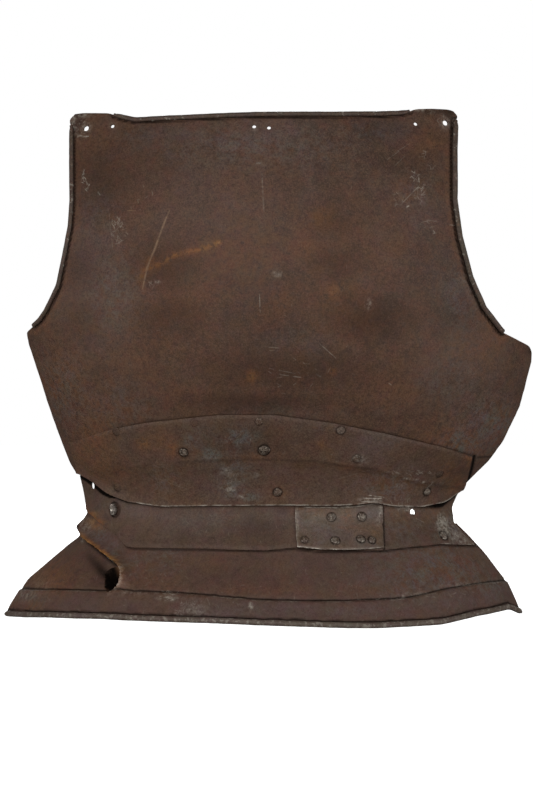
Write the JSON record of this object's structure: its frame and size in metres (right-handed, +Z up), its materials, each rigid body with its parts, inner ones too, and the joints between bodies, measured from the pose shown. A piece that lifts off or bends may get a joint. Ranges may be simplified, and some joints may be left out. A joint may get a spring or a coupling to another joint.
{
  "type": "armour backplate",
  "caption": "Iron backplate of plate armour with a riveted waist band, a waist plate with a repair patch and a flaring skirt with turned edges, torn at one side, and a loose belt rivet",
  "frame": {"origin": "middle of the bounding box, on the surface that the skirt's turned lower edge stands on", "axes": "+Z up as worn, +Y from the outer face towards the wearer, +X to the right seen from outside"},
  "size_m": [0.4458, 0.133, 0.4234],
  "materials": {
    "main_iron": "old wrought iron sheet, brown and purple mottled patina, finely pitted, satin",
    "band_iron": "old wrought iron sheet, brown patina with blue-grey worn patches",
    "waist_iron": "old wrought iron sheet, grey-brown patina, pitted",
    "patch_iron": "blue-grey iron with worn bright edges",
    "skirt_iron": "old wrought iron sheet, brown patina, rusted along the tear",
    "rivet_iron": "dark hammered iron",
    "wire_iron": "dark drawn iron wire",
    "belt_rivet_iron": "iron rubbed bright on its head",
    "washer_iron": "grey-brown iron"
  },
  "bodies": {
    "shell": {"main_plate": "main_iron", "neck_edge_wire": "wire_iron", "left_arm_edge_wire": "wire_iron", "right_arm_edge_wire": "wire_iron", "waist_band": "band_iron", "band_upper_rivets": "rivet_iron", "band_middle_rivets": "rivet_iron", "band_repair_rivet": "rivet_iron", "band_lower_rivets": "rivet_iron", "waist_plate": "waist_iron", "repair_patch": "patch_iron", "patch_upper_rivets": "rivet_iron", "patch_lower_rivets": "rivet_iron", "skirt_plate": "skirt_iron", "skirt_edge_wire": "wire_iron", "waist_skirt_rivets": "rivet_iron", "skirt_corner_rivet": "rivet_iron"},
    "loose_rivet": {"belt_rivet": "belt_rivet_iron"},
    "loose_washer": {"belt_washer": "washer_iron"}
  },
  "joints": [
    {"name": "belt_rivet_slide", "type": "slide", "parent": "shell", "child": "loose_rivet", "axis": [0.6074, 0.7931, -0.0462], "range_m": [0, 0.002]},
    {"name": "belt_washer_spin", "type": "hinge", "parent": "loose_rivet", "child": "loose_washer", "pos_m": [-0.12387, 0.02351, 0.09214], "axis": [0.6074, 0.7931, -0.0462], "continuous": true}
  ]
}
